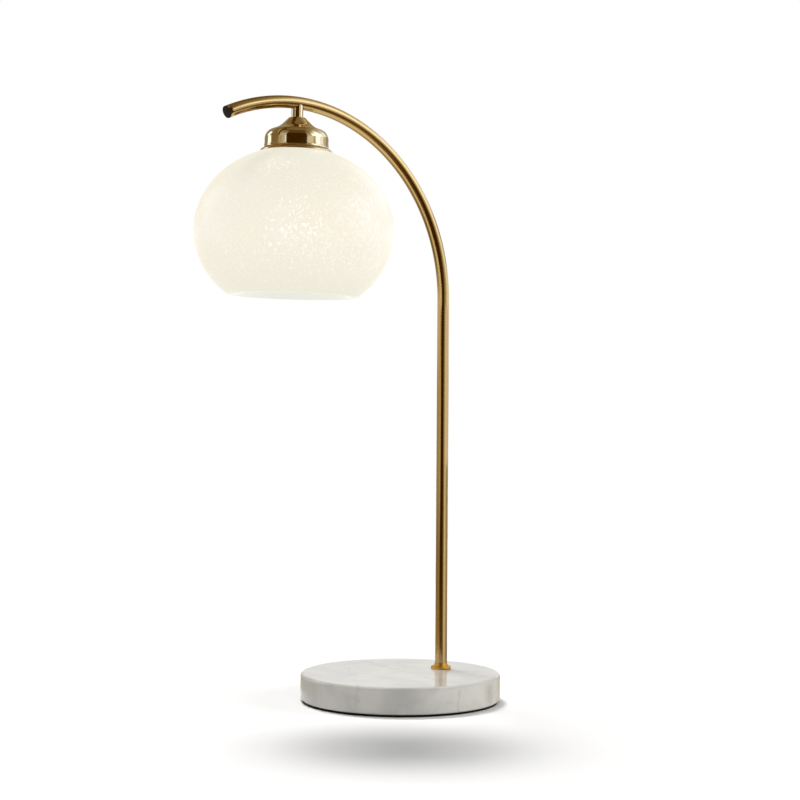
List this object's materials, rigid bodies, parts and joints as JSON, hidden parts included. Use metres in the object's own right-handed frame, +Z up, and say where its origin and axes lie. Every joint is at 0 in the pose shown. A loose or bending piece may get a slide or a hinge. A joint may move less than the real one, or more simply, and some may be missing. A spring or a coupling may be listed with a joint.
{
  "type": "glass globe table lamp",
  "caption": "Table lamp with an open-bottomed opal glass globe hung under the bend of a brass tube on a round marble base.",
  "frame": {"origin": "centre of the underside of the round base", "axes": "+Z up along the stem; the bend of the stem reaches towards -X; the cord inlet faces +X"},
  "size_m": [0.2722, 0.166, 0.493],
  "materials": {
    "marble": "polished white marble with grey veins",
    "pad": "black foam pad",
    "brushed_brass": "brushed antique brass",
    "polished_brass": "polished brass",
    "turned_brass": "plain turned brass",
    "zinc_steel": "zinc-plated steel",
    "black_plastic": "black moulded plastic",
    "white_plastic": "natural white nylon",
    "black_phenolic": "black pressed phenolic",
    "steatite": "unglazed steatite",
    "line_insulation": "brown lead insulation",
    "neutral_insulation": "blue lead insulation",
    "silicone": "clear white silicone",
    "opal_glass": "satin opal glass",
    "frosted_glass": "frosted white bulb glass",
    "clear_glass": "clear glass",
    "nickel_plate": "nickel-plated brass sheet",
    "black_glass": "black insulating glass",
    "filament_phosphor": "yellow phosphor coating"
  },
  "bodies": {
    "lamp": {"marble_base": "marble", "base_pad": "pad", "stem_tube": "brushed_brass", "foot_collar": "polished_brass", "neck_sleeve": "polished_brass", "gallery_cup": "polished_brass", "foot_nipple": "turned_brass", "neck_nipple": "turned_brass", "cup_nut": "turned_brass", "block_inserts": "turned_brass", "centre_contact": "turned_brass", "screw_shell": "turned_brass", "foot_washer": "zinc_steel", "foot_lock_washer": "zinc_steel", "foot_nut": "zinc_steel", "cup_washer": "zinc_steel", "block_screws": "zinc_steel", "carrier_screws": "zinc_steel", "end_plug": "black_plastic", "cord_gland": "black_plastic", "terminal_block": "white_plastic", "holder_cap": "black_phenolic", "holder_body": "black_phenolic", "shade_ring": "black_phenolic", "contact_carrier": "steatite", "lead_line": "line_insulation", "lead_neutral": "neutral_insulation", "shade_gasket": "silicone", "glass_globe": "opal_glass"},
    "bulb_tip": {"bulb_contact": "nickel_plate"},
    "bulb": {"bulb_cap": "nickel_plate", "bulb_insulator": "black_glass", "bulb_envelope": "frosted_glass", "bulb_stem": "clear_glass", "filament_frame": "zinc_steel", "bulb_filaments": "filament_phosphor"}
  },
  "joints": [
    {"name": "bulb_travel", "type": "slide", "parent": "lamp", "child": "bulb_tip", "axis": [-0.0262, 0, -0.9997], "range_m": [0, 0.0218]},
    {"name": "bulb_turn", "type": "hinge", "parent": "bulb_tip", "child": "bulb", "pos_m": [-0.10599, 0, 0.48795], "axis": [-0.0262, 0, -0.9997], "range_deg": [0, 2160]}
  ],
  "couplings": [
    {"joint": "bulb_travel", "follows": "bulb_turn", "m_per_rad": 0.00057757}
  ]
}
